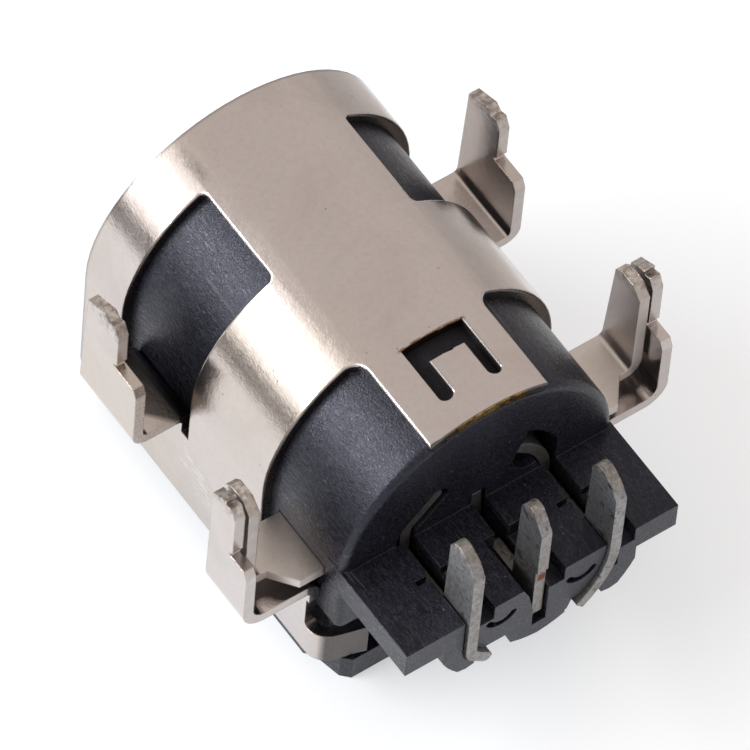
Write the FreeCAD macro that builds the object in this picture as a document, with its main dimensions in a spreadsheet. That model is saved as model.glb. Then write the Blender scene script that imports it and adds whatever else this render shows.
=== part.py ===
import FreeCAD, Part
import math
import os
import Sketcher

# Board-mounted DC barrel jack: a stamped arch shield over a black moulding,
# four board legs, two ground springs, two side contacts, a centre pin and its
# terminal. Sizes are millimetres. Each piece is drawn about the plug axis:
# x to the side, y from the mouth towards the terminals, z towards the board
# legs. A common placement then stands the flat floor on z = 0.

os.makedirs("parts", exist_ok=True)
doc = FreeCAD.newDocument("dc_barrel_jack")

# Driving sizes
SIZES = {
    # how far a cutting outline runs past the material
    "cut_margin": 0.5,
    # stamped sheet and the arch shield
    "sheet_gauge": 0.28,
    "shield_radius": 3.93,
    "shield_skirt": 3.8,
    "nose_round": 0.5,
    "front_ring": 1.43,
    "front_window": 2.7,
    "middle_band": 2.85,
    "top_tab": 2.77,
    "strap_angle": 29.0,
    "tab_angle": 24.0,
    "window_round": 0.15,
    "tab_round": 0.42,
    "rim_round": 0.07,
    "relief_drop": 1.4,
    "skirt_rear": 8.87,
    # slot that frees the locking tongue in the top tab
    "tongue_start": 7.46,
    "tongue_end": 9.05,
    "tongue_offset": -0.04,
    "tongue_slot_half": 0.8,
    "tongue_front_gap": 0.55,
    "tongue_side_gap": 0.32,
    # bends and tips that the board legs share
    "hinge_round": 0.1,
    "tip_drop": 0.28,
    "crest_share": 0.6,
    "dip_back": 0.36,
    "dip_depth": 0.14,
    "horn_back": 0.16,
    "horn_drop": 0.06,
    "tip_rear_drop": 0.36,
    "undercut": 0.12,
    "undercut_rise": 0.18,
    "shoulder_round": 0.12,
    # front board legs
    "front_leg_at": 1.8,
    "front_leg_base": 2.1,
    "front_leg_neck": 1.33,
    "front_leg_inset": 0.13,
    "front_leg_tip": 2.78,
    "front_leg_half_span": 5.27,
    "front_leg_shelf_under": 1.0,
    "front_leg_bend": 0.42,
    "front_leg_notch": 1.24,
    # rear board legs
    "rear_leg_at": 7.5,
    "rear_leg_base": 1.47,
    "rear_leg_neck": 0.9,
    "rear_leg_inset": 0.04,
    "rear_leg_tip": 2.68,
    "rear_leg_half_span": 5.75,
    "rear_leg_shelf_under": 1.42,
    "rear_leg_bend": 0.62,
    "rear_leg_notch": 0.87,
    # hook strip at the rear lower corners
    "hook_height": 0.97,
    "hook_start": 8.97,
    "hook_bend": 0.55,
    "hook_turn_angle": 75.0,
    "hook_reach": 0.8,
    "hook_root_round": 0.16,
    # ground springs behind the rear legs
    "spring_at": 7.3,
    "spring_depth": 1.75,
    "spring_leg_width": 1.13,
    "spring_gap": 0.09,
    "spring_leg_tip": 2.52,
    "spring_leg_inset": 0.18,
    "spring_tip_front": 0.17,
    "spring_tip_rear": 0.3,
    "spring_shelf_top": 0.45,
    "spring_leg_bend": 0.45,
    "spring_root": 2.95,
    "spring_flare": 4.3,
    "spring_flare_run": 0.49,
    # moulding
    "axis_height": 4.65,
    "mould_front": 0.3,
    "mould_rear": 9.7,
    "floor_chamfer": 0.3,
    "floor_chamfer_end": 7.2,
    "arch_edge_round": 0.2,
    "heel_from": 8.58,
    "heel_step": 0.17,
    "heel_taper": 0.34,
    "heel_nose": 0.2,
    "block_rear": 12.2,
    "block_root": 0.6,
    "block_top": 0.08,
    "flange_half": 3.66,
    "flange_thick": 0.8,
    "lobe_radius": 2.85,
    "lobe_half": 2.58,
    "lobe_high_angle": 24.5,
    "lobe_low_angle": 40.5,
    "lobe_foot": 1.95,
    "lobe_inner": 1.72,
    "core_radius": 2.05,
    "core_half": 0.74,
    "core_step": 1.4,
    "core_step_out": 0.16,
    "core_side": 1.84,
    "plug_bore": 2.1,
    "collar_end": 2.3,
    "chamber_radius": 2.35,
    "chamber_end": 8.0,
    "mouth_chamfer": 0.3,
    "arm_room_start": 3.2,
    "arm_room_half": 2.62,
    "arm_room_top": 0.55,
    "arm_room_bottom": 0.65,
    "wing_room_start": 8.3,
    "bent_wing_gap": 0.17,
    "curled_room_gap": 0.16,
    "curled_room_angle": 57.0,
    "curled_room_end": 0.99,
    "curled_room_end_rise": 0.76,
    "curled_room_floor": 0.54,
    "curled_room_floor_angle": 27.0,
    "slot_clearance": 0.05,
    "seat_clearance": 0.04,
    "slot_lead": 1.0,
    "slot_floor": 1.6,
    "key_notch": 0.33,
    "key_notch_long": 0.14,
    "key_notch_deep": 0.25,
    "blade_pocket": 0.42,
    "blade_pocket_start": 11.5,
    "blade_pocket_floor": 0.37,
    "flare_start": 10.62,
    "flare_out": 0.33,
    "flare_ledge_out": 0.16,
    "flare_ledge_drop": 0.28,
    "flare_floor": 1.0,
    "groove_radius": 0.38,
    "groove_width": 0.18,
    "groove_depth": 0.25,
    "groove_offset": 1.08,
    "groove_drop": 0.33,
    "groove_half_angle": 58.0,
    "hook_seat_inset": 0.32,
    "hook_seat_start": 8.75,
    "hook_seat_face": 9.25,
    "hook_seat_chamfer": 0.25,
    "hook_seat_inner": 2.4,
    "hook_seat_below": 0.1,
    "hook_seat_above": 0.7,
    # terminals and contacts
    "terminal_pitch": 1.9,
    "terminal_front": 11.28,
    "terminal_rear": 12.3,
    "terminal_tip": 2.45,
    "terminal_gauge": 0.28,
    "blade_lean": 0.06,
    "tip_front_drop": 0.28,
    "tip_front_run": 0.2,
    "tip_front_rise": 0.06,
    "tip_crest_run": 0.45,
    "tip_rear_run": 0.22,
    "tip_rear_fall": 0.24,
    "tip_rear_end": 0.58,
    "tip_round": 0.2,
    "bent_foot_drop": 1.13,
    "bent_foot_reach": 0.43,
    "bent_foot_angle": 48.0,
    "bent_foot_round": 0.22,
    "curved_foot_radius": 2.4,
    "curved_foot_angle": 51.0,
    "curved_room_angle": 8.0,
    "foot_lap": 0.1,
    "foot_room": 0.3,
    "neck_start": 9.0,
    "neck_top": 0.55,
    "neck_bottom": 1.0,
    "neck_step": 0.28,
    "wing_start": 8.45,
    "wing_setback": 0.1,
    "bent_wing_rise": 0.17,
    "bent_wing_angle": 44.0,
    "bent_wing_reach": 0.97,
    "curled_wing_drop": 0.34,
    "curled_wing_radius": 1.876,
    "curled_wing_angle": 58.0,
    "arm_offset": 2.3,
    "arm_touch": 1.97,
    "arm_tip": 3.6,
    "arm_touch_at": 4.6,
    "arm_straight": 5.9,
    "arm_slant_start": 7.95,
    "arm_slant_end": 8.6,
    "arm_root": 8.9,
    "arm_half_height": 0.45,
    "pin_radius": 0.6,
    "pin_tip": 2.4,
    "pin_tip_chamfer": 0.2,
    "pin_tip_taper": 0.36,
    "pin_root_radius": 0.85,
    "pin_rear": 9.3,
    "strip_low": 1.36,
    "strip_high": 0.25,
    "strip_waist": 0.85,
    "strip_rise": 1.0,
    "strip_shoulder": 0.64,
    "strip_rise_run": 0.1,
    "blade_setback": 0.15,
    "blade_step": 0.06,
    "blade_step_height": 0.4,
}

sheet = doc.addObject("Spreadsheet::Sheet", "Sizes")
for row, (name, value) in enumerate(SIZES.items(), start=1):
    sheet.set(f"A{row}", name)
    sheet.set(f"B{row}", str(value))
    sheet.setAlias(f"B{row}", name)
doc.recompute()


class Size:
    """A length or angle that knows its value and the expression that gives it."""

    def __init__(self, value, text):
        self.value = value
        self.text = text

    def __add__(self, other):
        other = as_size(other)
        return Size(self.value + other.value, f"({self.text} + {other.text})")

    def __sub__(self, other):
        other = as_size(other)
        return Size(self.value - other.value, f"({self.text} - {other.text})")

    def __mul__(self, other):
        other = as_size(other)
        return Size(self.value * other.value, f"({self.text} * {other.text})")

    def __truediv__(self, other):
        other = as_size(other)
        return Size(self.value / other.value, f"({self.text} / {other.text})")

    def __neg__(self):
        return Size(-self.value, f"(0 - {self.text})")


def as_size(number):
    return number if isinstance(number, Size) else Size(float(number), repr(float(number)))


def cosine(angle):
    return Size(math.cos(math.radians(angle.value)), f"cos({angle.text} * 1 deg)")


def sine(angle):
    return Size(math.sin(math.radians(angle.value)), f"sin({angle.text} * 1 deg)")


def size(name):
    return Size(sheet.get(name), f"Sizes.{name}")


ZERO = as_size(0)
QUARTER_TURN = as_size(90)
LEFT, RIGHT = 1, -1


# Sketch helpers
def corner(u, v, radius=None, turn=0):
    """A vertex; with a radius, the edge to the next vertex is an arc (turn 1 is counterclockwise)."""
    return {"u": as_size(u), "v": as_size(v), "radius": radius, "turn": turn}


def ray(radius, angle, arc_radius=None, turn=0):
    """A vertex at a radius and an angle above +u, measured from the axis."""
    return corner(radius * cosine(angle), radius * sine(angle), arc_radius, turn)


def mirrored(outline):
    """The same closed outline on the other side of the v axis."""
    return [corner(-c["u"], c["v"], c["radius"], -c["turn"]) for c in outline]


def placed_side(outline, side):
    return outline if side == LEFT else mirrored(outline)


def arc_geometry(start, end, radius, turn):
    """Shorter arc from start to end; returns the geometry and which of its ends is the start."""
    chord = end - start
    half = chord.Length / 2
    height = math.sqrt(max(radius * radius - half * half, 0.0))
    normal = FreeCAD.Vector(-chord.y, chord.x, 0) * (turn / chord.Length)
    centre = (start + end) / 2 + normal * height
    first, last = (start, end) if turn > 0 else (end, start)
    a = math.atan2(first.y - centre.y, first.x - centre.x)
    b = math.atan2(last.y - centre.y, last.x - centre.x)
    circle = Part.Circle(centre, FreeCAD.Vector(0, 0, 1), radius)
    return Part.ArcOfCircle(circle, a, b), (1 if turn > 0 else 2)


def bind(sketch, index, length):
    sketch.setExpression(f"Constraints[{index}]", length.text)


def draw_outline(sketch, outline):
    """Closed outline with every vertex and arc radius bound to the sheet."""
    count = len(outline)
    points = [FreeCAD.Vector(c["u"].value, c["v"].value, 0) for c in outline]
    ends = []
    for i, c in enumerate(outline):
        start, end = points[i], points[(i + 1) % count]
        if c["radius"] is None:
            edge = sketch.addGeometry(Part.LineSegment(start, end))
            ends.append((edge, 1, 2))
            continue
        geometry, first = arc_geometry(start, end, c["radius"].value, c["turn"])
        edge = sketch.addGeometry(geometry)
        ends.append((edge, first, 3 - first))
        bind(sketch, sketch.addConstraint(
            Sketcher.Constraint("Radius", edge, c["radius"].value)), c["radius"])
    for i, c in enumerate(outline):
        edge, first, _ = ends[i]
        before, _, last = ends[i - 1]
        sketch.addConstraint(Sketcher.Constraint("Coincident", before, last, edge, first))
        bind(sketch, sketch.addConstraint(
            Sketcher.Constraint("DistanceX", -1, 1, edge, first, c["u"].value)), c["u"])
        bind(sketch, sketch.addConstraint(
            Sketcher.Constraint("DistanceY", -1, 1, edge, first, c["v"].value)), c["v"])


def draw_circle(sketch, radius):
    edge = sketch.addGeometry(Part.Circle(FreeCAD.Vector(0, 0, 0), FreeCAD.Vector(0, 0, 1), radius.value))
    sketch.addConstraint(Sketcher.Constraint("Coincident", edge, 3, -1, 1))
    bind(sketch, sketch.addConstraint(Sketcher.Constraint("Radius", edge, radius.value)), radius)


def sketch_on(body, role, offset, name):
    sketch = body.newObject("Sketcher::SketchObject", name + "_sketch")
    plane = next(f for f in body.Origin.OriginFeatures if f.Role == role)
    sketch.AttachmentSupport = [(plane, "")]
    sketch.MapMode = "FlatFace"
    sketch.setExpression(".AttachmentOffset.Base.z", offset.text)
    return sketch


def prism(body, name, role, start, stop, outlines, cut=False, radius=None):
    """Adds or cuts the outlines between two places along the axis that crosses the plane."""
    flipped = role == "XZ_Plane"
    if cut:
        offset = -start if flipped else stop
    else:
        offset = -stop if flipped else start
    sketch = sketch_on(body, role, offset, name)
    for outline in outlines:
        draw_outline(sketch, outline)
    if radius is not None:
        draw_circle(sketch, radius)
    before = body.Shape.Volume if body.Tip else 0.0
    feature = body.newObject("PartDesign::Pocket" if cut else "PartDesign::Pad", name)
    feature.Profile = sketch
    feature.setExpression("Length", (stop - start).text)
    doc.recompute()
    change = body.Shape.Volume - before
    if (change >= 0) if cut else (change <= 0):
        raise RuntimeError(f"{name} changes nothing: {change}")
    return feature


def along_y(body, name, start, stop, outlines, cut=False, radius=None):
    return prism(body, name, "XZ_Plane", start, stop, outlines, cut, radius)


def along_z(body, name, start, stop, outlines, cut=False):
    return prism(body, name, "XY_Plane", start, stop, outlines, cut)


def across(body, name, side, near, far, outlines, cut=False):
    """A prism along x on one side, between two distances from the middle."""
    low, high = (near, far) if side == LEFT else (-far, -near)
    return prism(body, name, "YZ_Plane", low, high, outlines, cut)


def box_outline(u0, v0, u1, v1):
    return [corner(u0, v0), corner(u1, v0), corner(u1, v1), corner(u0, v1)]


def round_edges(body, name, radius, wanted):
    """Fillets the edges of the tip whose middle passes the test."""
    base = body.Tip
    picked = []
    for i, edge in enumerate(base.Shape.Edges, start=1):
        middle = edge.valueAt((edge.FirstParameter + edge.LastParameter) / 2)
        if wanted(edge, middle):
            picked.append(f"Edge{i}")
    if not picked:
        raise RuntimeError(f"{name} finds no edge")
    fillet = body.newObject("PartDesign::Fillet", name)
    fillet.Base = (base, picked)
    fillet.setExpression("Radius", radius.text)
    doc.recompute()
    return fillet


def new_piece(label):
    body = doc.addObject("PartDesign::Body", label)
    body.Label = label
    body.setExpression(".Placement.Base.y", "0 - Sizes.terminal_rear / 2")
    body.setExpression(".Placement.Base.z", "Sizes.axis_height")
    return body


# Values that several pieces share
gauge = size("sheet_gauge")
shield_outer = size("shield_radius")
shield_inner = shield_outer - gauge
skirt = size("shield_skirt")
window_start = size("front_ring")
window_end = window_start + size("front_window")
band_end = window_end + size("middle_band")
tab_end = band_end + size("top_tab")
margin = size("cut_margin")
blade_inner = size("terminal_pitch") - size("terminal_gauge") / 2
blade_outer = size("terminal_pitch") + size("terminal_gauge") / 2
clear = size("slot_clearance")
seat = size("seat_clearance")
board_side = (("left", LEFT), ("right", RIGHT))


def arch_outline(outer, inner, foot):
    """Closed band that goes up one wall, over the arch and down the other."""
    return [
        corner(outer, -foot), corner(outer, ZERO, outer, 1), corner(ZERO, outer, outer, 1),
        corner(-outer, ZERO), corner(-outer, -foot),
        corner(-inner, -foot), corner(-inner, ZERO, inner, -1), corner(ZERO, inner, inner, -1),
        corner(inner, ZERO), corner(inner, -foot),
    ]


def side_opening(angle_from_top, foot):
    """Sector of one side of the shield, from an angle beside the top down to a level."""
    near = shield_inner - margin
    far = shield_outer + margin
    up = QUARTER_TURN - angle_from_top
    return [ray(near, up), corner(near, -foot), corner(far, -foot), corner(far, far * sine(up)), ray(far, up)]


def leg_section(wall_foot, under, half_span, bend, tip):
    """Sheet that leaves the wall, runs out as a shelf and turns up as a plate."""
    hinge = size("hinge_round")
    top = gauge - under
    return [
        corner(shield_outer, -wall_foot),
        corner(shield_outer, -under - hinge, hinge, -1),
        corner(shield_outer + hinge, -under),
        corner(half_span - bend, -under, bend, 1),
        corner(half_span, bend - under),
        corner(half_span, tip),
        corner(half_span - gauge, tip),
        corner(half_span - gauge, bend - under, bend - gauge, -1),
        corner(half_span - bend, top),
        corner(shield_inner + hinge + gauge, top, hinge + gauge, 1),
        corner(shield_inner, top - hinge - gauge),
        corner(shield_inner, -wall_foot),
    ]


def leg_frame(at, base, neck, inset, notch, tip, bottom):
    """The sheet to punch away round a leg's plate, seen along x."""
    undercut = size("undercut")
    rise = size("undercut_rise")
    shoulder = size("shoulder_round")
    back = at + neck
    end = at + base
    return [
        corner(at - margin, bottom), corner(at, bottom), corner(at + inset, tip - size("tip_drop")),
        corner(at + neck * size("crest_share"), tip),
        corner(back - size("dip_back"), tip - size("dip_depth")),
        corner(back - size("horn_back"), tip - size("horn_drop")),
        corner(back, tip - size("tip_rear_drop")),
        corner(back, notch + rise), corner(back - undercut, notch + rise / 4),
        corner(back - undercut / 2, notch),
        corner(end - shoulder, notch), corner(end, notch - shoulder * 2),
        corner(end, bottom), corner(end + margin, bottom),
        corner(end + margin, tip + margin), corner(at - margin, tip + margin),
    ]


def add_leg_pair(body, name, wall_foot):
    """Board legs on both sides; their sizes are the ones named after the pair."""
    words = ("at", "base", "neck", "inset", "notch", "tip", "half_span", "bend", "shelf_under")
    at, base, neck, inset, notch, tip, half_span, bend, under = (size(f"{name}_{word}") for word in words)
    section = leg_section(wall_foot, under, half_span, bend, tip)
    frame = leg_frame(at, base, neck, inset, notch, tip, bend - under)
    for word, side in board_side:
        along_y(body, f"{name}_{word}", at, at + base, [placed_side(section, side)])
        across(body, f"{name}_{word}_punch", side, half_span - gauge - margin, half_span + margin,
               [frame], cut=True)


def hook_outline():
    """Plan of the strip that wraps the moulding's rear corner."""
    bend = size("hook_bend")
    turn = size("hook_turn_angle")
    start = size("hook_start")
    reach = size("hook_reach")
    rear = size("skirt_rear")
    mid_x = shield_outer - bend
    out_x = mid_x + bend * cosine(turn)
    out_y = start + bend * sine(turn)
    in_x = mid_x + (bend - gauge) * cosine(turn)
    in_y = start + (bend - gauge) * sine(turn)
    return [
        corner(shield_outer, rear - gauge), corner(shield_outer, start, bend, 1),
        corner(out_x, out_y),
        corner(out_x - reach * sine(turn), out_y + reach * cosine(turn)),
        corner(in_x - reach * sine(turn), in_y + reach * cosine(turn)),
        corner(in_x, in_y, bend - gauge, -1),
        corner(shield_inner, start), corner(shield_inner, rear - gauge),
    ]


def tongue_slot():
    """U-shaped slot, closed towards the mouth, that leaves a tongue in the tab."""
    half = size("tongue_slot_half")
    middle = size("tongue_offset")
    gap = size("tongue_side_gap")
    start = size("tongue_start")
    end = size("tongue_end")
    front = start + size("tongue_front_gap")
    tooth = half - gap
    bulb = gap / 2
    return [
        corner(middle + half, start), corner(middle + half, end - bulb, bulb, 1),
        corner(middle + half - bulb, end, bulb, 1), corner(middle + tooth, end - bulb),
        corner(middle + tooth, front), corner(middle - tooth, front),
        corner(middle - tooth, end - bulb, bulb, 1), corner(middle + bulb - half, end, bulb, 1),
        corner(middle - half, end - bulb), corner(middle - half, start),
    ]


# Shield: one stamping with the arch, windows, tab, board legs and hooks
def build_shield():
    body = new_piece("shield_shell")
    relief = size("relief_drop")
    rear_foot = size("rear_leg_shelf_under") + gauge + size("hinge_round")
    near = shield_inner - margin
    far = shield_outer + margin
    strap = size("strap_angle")
    tab = size("tab_angle")
    along_y(body, "arch", ZERO, tab_end, [arch_outline(shield_outer, shield_inner, skirt)])
    window = side_opening(strap, relief)
    along_y(body, "front_windows", window_start, window_end, [window, mirrored(window)], cut=True)
    rear = side_opening(tab, rear_foot)
    along_y(body, "rear_openings", band_end, tab_end + margin, [rear, mirrored(rear)], cut=True)
    nose = size("nose_round")
    skirt_end = box_outline(size("skirt_rear"), -skirt - margin, tab_end + margin, margin - rear_foot)
    nose_cut = [
        corner(-margin, -skirt - margin), corner(nose, -skirt - margin), corner(nose, -skirt, nose, -1),
        corner(ZERO, nose - skirt), corner(-margin, nose - skirt)]
    for word, side in board_side:
        across(body, f"skirt_end_{word}", side, near, far, [skirt_end], cut=True)
        across(body, f"nose_round_{word}", side, near, far, [nose_cut], cut=True)
    along_z(body, "tongue_slot", near, far, [tongue_slot()], cut=True)
    round_edges(body, "window_corners", size("window_round"),
                lambda edge, middle: is_radial(edge, middle, window_start, strap)
                or is_radial(edge, middle, window_end, strap))
    round_edges(body, "tab_roots", size("tab_round"),
                lambda edge, middle: is_radial(edge, middle, band_end, tab))
    round_edges(body, "rims", size("rim_round"),
                lambda edge, middle: middle.z > margin.value - relief.value and window_start.value < middle.y
                and is_on_outside(edge))
    add_leg_pair(body, "front_leg", relief)
    add_leg_pair(body, "rear_leg", rear_foot)
    hook = hook_outline()
    hook_top = size("hook_height") - skirt
    along_z(body, "hooks", -skirt, hook_top, [hook, mirrored(hook)])
    round_edges(body, "hook_roots", size("hook_root_round"),
                lambda edge, middle: near_to(middle.y, size("skirt_rear")) and near_to(middle.z, hook_top))
    return body


def near_to(number, target):
    return abs(number - target.value) < 0.01


def is_on_outside(edge):
    """True for an edge that lies on the arch's outer face and isn't where the arch meets a wall."""
    points = [edge.valueAt(edge.FirstParameter + (edge.LastParameter - edge.FirstParameter) * share)
              for share in (0.0, 0.3, 0.5, 0.7, 1.0)]
    radii = [abs(p.x) if p.z < 0 else math.hypot(p.x, p.z) for p in points]
    seam = all(abs(p.z) < 0.01 for p in points)
    return all(near_to(r, shield_outer) for r in radii) and not seam


def is_radial(edge, middle, y, angle):
    """True for a short edge through the sheet at a place along y and an angle beside the top."""
    beside_top = as_size(math.degrees(math.atan2(abs(middle.x), middle.z)))
    return near_to(middle.y, y) and near_to(beside_top.value, angle) and near_to(edge.Length, gauge)


# Ground springs: the second plate of each rear leg
def build_ground_spring(side, label):
    body = new_piece(label)
    at = size("spring_at")
    end = at + size("spring_depth")
    leg_end = at + size("spring_leg_width")
    outer = size("rear_leg_half_span") - gauge - size("spring_gap")
    bend = size("spring_leg_bend")
    top = -size("spring_shelf_top")
    under = top - gauge
    tip = size("spring_leg_tip")
    root = size("spring_root")
    along_y(body, "section", at, end, [placed_side([
        corner(root, under), corner(outer - bend, under, bend, 1), corner(outer, under + bend),
        corner(outer, tip), corner(outer - gauge, tip),
        corner(outer - gauge, under + bend, bend - gauge, -1), corner(outer - bend, top),
        corner(root, top)], side)])
    flare = size("spring_flare")
    along_z(body, "shelf_taper", under - margin, tip + margin, [placed_side([
        corner(flare, end + margin), corner(flare, end),
        corner(flare + size("spring_flare_run"), leg_end),
        corner(outer + margin, leg_end), corner(outer + margin, end + margin)], side)], cut=True)
    inset = size("spring_leg_inset")
    front = size("spring_tip_front")
    back = size("spring_tip_rear")
    bottom = under + bend
    across(body, "tip_punch", side, outer - gauge - margin, outer + margin, [[
        corner(at - margin, bottom), corner(at, bottom), corner(at + inset, tip - front),
        corner(at + inset + front, tip), corner(leg_end - back, tip),
        corner(leg_end, tip - back), corner(leg_end, bottom), corner(leg_end + margin, bottom),
        corner(leg_end + margin, tip + margin), corner(at - margin, tip + margin)]], cut=True)
    return body


# Centre pin: a turned pin on the plug axis
def build_centre_pin():
    body = new_piece("centre_pin")
    radius = size("pin_radius")
    nose = size("pin_tip_chamfer")
    front = size("pin_tip")
    rear = size("pin_rear")
    sketch = sketch_on(body, "XY_Plane", ZERO, "pin")
    root = size("pin_root_radius")
    shoulder = size("chamber_end")
    draw_outline(sketch, [
        corner(ZERO, front), corner(radius - nose, front), corner(radius, front + size("pin_tip_taper")),
        corner(radius, shoulder), corner(root, shoulder), corner(root, rear), corner(ZERO, rear),
    ])
    turned = body.newObject("PartDesign::Revolution", "turned_pin")
    turned.Profile = sketch
    turned.ReferenceAxis = (sketch, ["V_Axis"])
    turned.Angle = 360
    doc.recompute()
    return body


def blade_top(front, rear, height):
    """Rounded blade tip in the side view, from the front edge to the rear edge."""
    return [
        corner(front + size("blade_lean"), height - size("tip_front_drop")),
        corner(front + size("tip_front_run"), height - size("tip_front_rise")),
        corner(front + size("tip_crest_run"), height),
        corner(rear - size("tip_rear_run"), height - size("tip_rear_fall")),
        corner(rear, height - size("tip_rear_end")),
    ]


def round_blade_tip(body):
    """Turns the corners of a blade's tip into one soft curve."""
    lowest = size("terminal_tip") - size("tip_rear_end") - as_size(0.01)
    round_edges(body, "tip_rounds", size("tip_round"),
                lambda edge, middle: middle.z > lowest.value
                and near_to(abs(edge.tangentAt(edge.FirstParameter).x), as_size(1)))


# Centre terminal: blade and strip that carry the pin
def build_centre_terminal():
    body = new_piece("centre_terminal")
    half = size("terminal_gauge") / 2
    front = size("terminal_front")
    rear = size("terminal_rear") - size("blade_setback")
    lower_rear = rear - size("blade_step")
    step = size("blade_step_height")
    low = -size("strip_low")
    high = size("strip_high")
    waist = -size("strip_waist")
    neck = size("mould_rear")
    run = size("strip_rise_run")
    rise = front - size("strip_rise")
    top = -size("strip_shoulder")
    outline = [
        corner(size("pin_rear"), low), corner(size("pin_rear"), high), corner(neck - run, high),
        corner(neck, waist), corner(rise, waist), corner(rise + run, top), corner(front, top),
    ] + blade_top(front, rear, size("terminal_tip")) + [
        corner(rear, step), corner(lower_rear, step - run), corner(lower_rear, low),
    ]
    prism(body, "blade", "YZ_Plane", -half, half, [outline])
    round_blade_tip(body)
    return body


def bent_strip(level, angle, bend, reach, spread_in, spread_out, end):
    """Sheet of a side blade, cut off at a level, that turns inwards above another level."""
    inner = blade_inner - spread_in
    outer = blade_outer + spread_out
    centre = blade_inner - bend
    near = bend - spread_in
    far = outer - centre
    half = (far - near) / 2

    def beyond_bend(radius, run, arc_radius=None, turn=0):
        return corner(centre + radius * cosine(angle) - run * sine(angle),
                      level + radius * sine(angle) + run * cosine(angle), arc_radius, turn)

    return [
        corner(outer, end), corner(inner, end), corner(inner, level, near, 1),
        beyond_bend(near, ZERO), beyond_bend(near, reach, half, -1),
        beyond_bend(near + half, reach + half, half, -1), beyond_bend(far, reach),
        beyond_bend(far, ZERO, far, -1), corner(outer, level),
    ]


def curled_strip(level, angle, radius, spread_in, spread_out, end):
    """Sheet of a side blade, cut off at a level, that curls inwards above another level."""
    centre = blade_outer - radius
    outer = radius + spread_out
    inner = radius - size("terminal_gauge") - spread_in
    return [
        corner(centre + outer, end), corner(centre + inner, end), corner(centre + inner, level, inner, 1),
        corner(centre + inner * cosine(angle), level + inner * sine(angle)),
        corner(centre + outer * cosine(angle), level + outer * sine(angle), outer, -1),
        corner(centre + outer, level),
    ]


def upside_down(outline):
    return [corner(c["u"], -c["v"], c["radius"], -c["turn"]) for c in outline]


def bent_foot(spread, extra):
    """Foot that turns inwards below a side blade; the spread and extra length suit its recess."""
    return upside_down(bent_strip(
        size("bent_foot_drop"), size("bent_foot_angle"), size("bent_foot_round"),
        size("bent_foot_reach") + extra, spread, spread, -size("foot_lap")))


def curved_foot(spread, extra):
    """Foot that curls inwards below a side blade; the spread and extra angle suit its recess."""
    return upside_down(curled_strip(
        ZERO, size("curved_foot_angle") + extra, size("curved_foot_radius"),
        spread, spread, -size("foot_lap")))


def bent_wing(spread_in, spread_out, extra):
    """Wing that turns inwards above a side contact's neck."""
    return bent_strip(
        size("bent_wing_rise"), size("bent_wing_angle"), size("bent_foot_round"),
        size("bent_wing_reach") + extra, spread_in, spread_out, -size("neck_bottom"))


def curled_wing():
    """Wing that curls inwards above a side contact's neck."""
    return curled_strip(
        -size("curled_wing_drop"), size("curled_wing_angle"), size("curled_wing_radius"),
        ZERO, ZERO, -size("neck_bottom"))


def arm_outline():
    """Plan of the spring arm, from the wing forwards to its flared tip."""
    thick = size("terminal_gauge")
    inner = size("arm_offset") - thick / 2
    touch = size("arm_touch")
    tip_at = size("arm_tip")
    touch_at = size("arm_touch_at")
    straight = size("arm_straight")
    slant_start = size("arm_slant_start")
    slant_end = size("arm_slant_end")
    root = size("arm_root")
    return [
        corner(inner, tip_at), corner(touch, touch_at), corner(inner, straight),
        corner(inner, slant_start), corner(blade_inner, slant_end), corner(blade_inner, root),
        corner(blade_outer, root), corner(blade_outer, slant_end),
        corner(inner + thick, slant_start), corner(inner + thick, straight),
        corner(touch + thick, touch_at), corner(inner + thick, tip_at),
    ]


# Side contacts: blade, foot, neck, wing and spring arm in one stamping
def build_side_contact(side, label, foot, wing):
    body = new_piece(label)
    front = size("terminal_front")
    rear = size("terminal_rear")
    neck = size("neck_start")
    top = -size("neck_top")
    low = -size("neck_bottom")
    outline = [corner(neck, low), corner(neck, top), corner(front, top)]
    outline += blade_top(front, rear, size("terminal_tip"))
    outline += [corner(rear, ZERO), corner(front + size("neck_step"), ZERO), corner(front, low)]
    across(body, "blade", side, blade_inner, blade_outer, [outline])
    along_y(body, "foot", front, rear, [placed_side(foot(ZERO, ZERO), side)])
    along_y(body, "wing", size("wing_start"), size("mould_rear") - size("wing_setback"),
            [placed_side(wing, side)])
    half_height = size("arm_half_height")
    along_z(body, "arm", -half_height, half_height, [placed_side(arm_outline(), side)])
    round_blade_tip(body)
    return body


def block_outline():
    """Lower part of the terminal block: two lobes and a core, seen from the rear."""
    lobe = size("lobe_radius")
    high = -size("lobe_high_angle")
    low = -size("lobe_low_angle")
    core = size("core_radius")
    half = size("core_half")
    step = -size("core_step")
    side_z = -size("core_side")
    ledge = half + size("core_step_out")
    foot_z = lobe * sine(low)
    inner = size("lobe_inner")
    middle_z = -core
    right = [
        corner(ledge, step), corner(inner, step), corner(inner, foot_z),
        corner(size("lobe_foot"), foot_z - clear), ray(lobe, low, lobe, 1), ray(lobe, high),
        corner(size("lobe_half"), ZERO),
    ]
    left = [corner(-c["u"], c["v"]) for c in reversed(right)]
    left[2]["radius"], left[2]["turn"] = None, 0
    left[1]["radius"], left[1]["turn"] = lobe, 1
    return right + left + [
        corner(-half, side_z, core, 1), corner(ZERO, middle_z, core, 1), corner(half, side_z)]


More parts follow.
